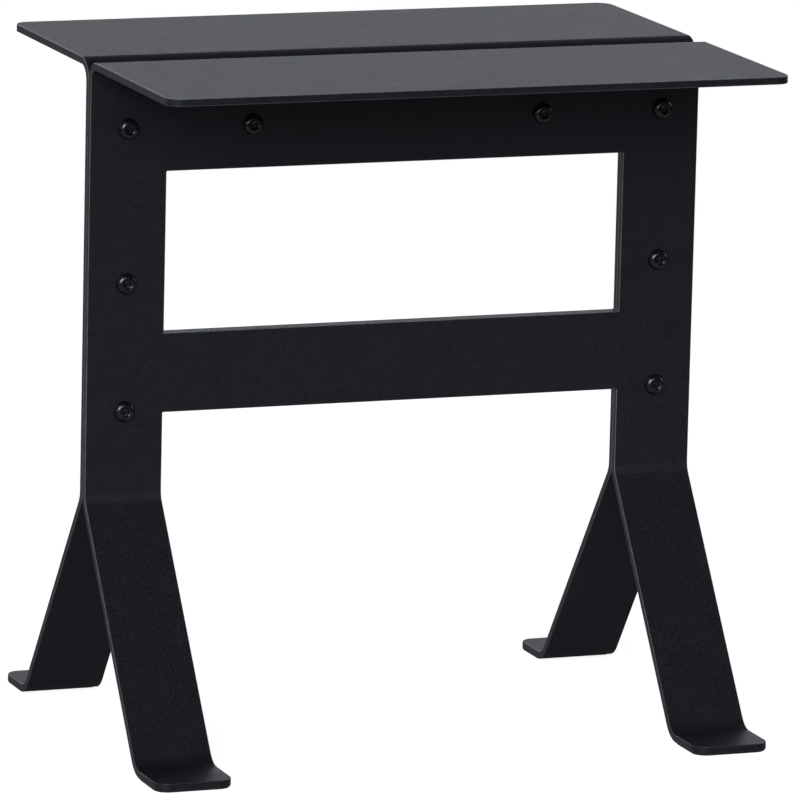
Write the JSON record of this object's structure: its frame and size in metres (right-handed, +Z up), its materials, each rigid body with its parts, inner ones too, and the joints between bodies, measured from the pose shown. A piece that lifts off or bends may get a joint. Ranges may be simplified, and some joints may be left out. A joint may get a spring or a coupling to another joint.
{
  "type": "side table",
  "caption": "Low steel side table made of two bent sheet panels bolted back to back, with a split flat top, an open upright frame and splayed legs with flat feet.",
  "frame": {"origin": "on the floor, under the middle of the table", "axes": "+X along the table's width, +Y towards the side with the cap nuts, +Z up"},
  "size_m": [0.426, 0.323, 0.45],
  "materials": {
    "powder_coat": "matt black fine-texture powder coat on steel sheet",
    "black_steel": "smooth black-oxide steel, semi-gloss",
    "rubber_pad": "matt black rubber"
  },
  "bodies": {
    "root": {"front_panel": "powder_coat", "rear_panel": "powder_coat", "screw_1": "black_steel", "washer_1": "black_steel", "cap_nut_1": "black_steel", "screw_2": "black_steel", "washer_2": "black_steel", "cap_nut_2": "black_steel", "screw_3": "black_steel", "washer_3": "black_steel", "cap_nut_3": "black_steel", "screw_4": "black_steel", "washer_4": "black_steel", "cap_nut_4": "black_steel", "screw_5": "black_steel", "washer_5": "black_steel", "cap_nut_5": "black_steel", "screw_6": "black_steel", "washer_6": "black_steel", "cap_nut_6": "black_steel", "screw_7": "black_steel", "washer_7": "black_steel", "cap_nut_7": "black_steel", "screw_8": "black_steel", "washer_8": "black_steel", "cap_nut_8": "black_steel", "foot_pad_front_left": "rubber_pad", "foot_pad_front_right": "rubber_pad", "foot_pad_rear_left": "rubber_pad", "foot_pad_rear_right": "rubber_pad"}
  },
  "joints": []
}
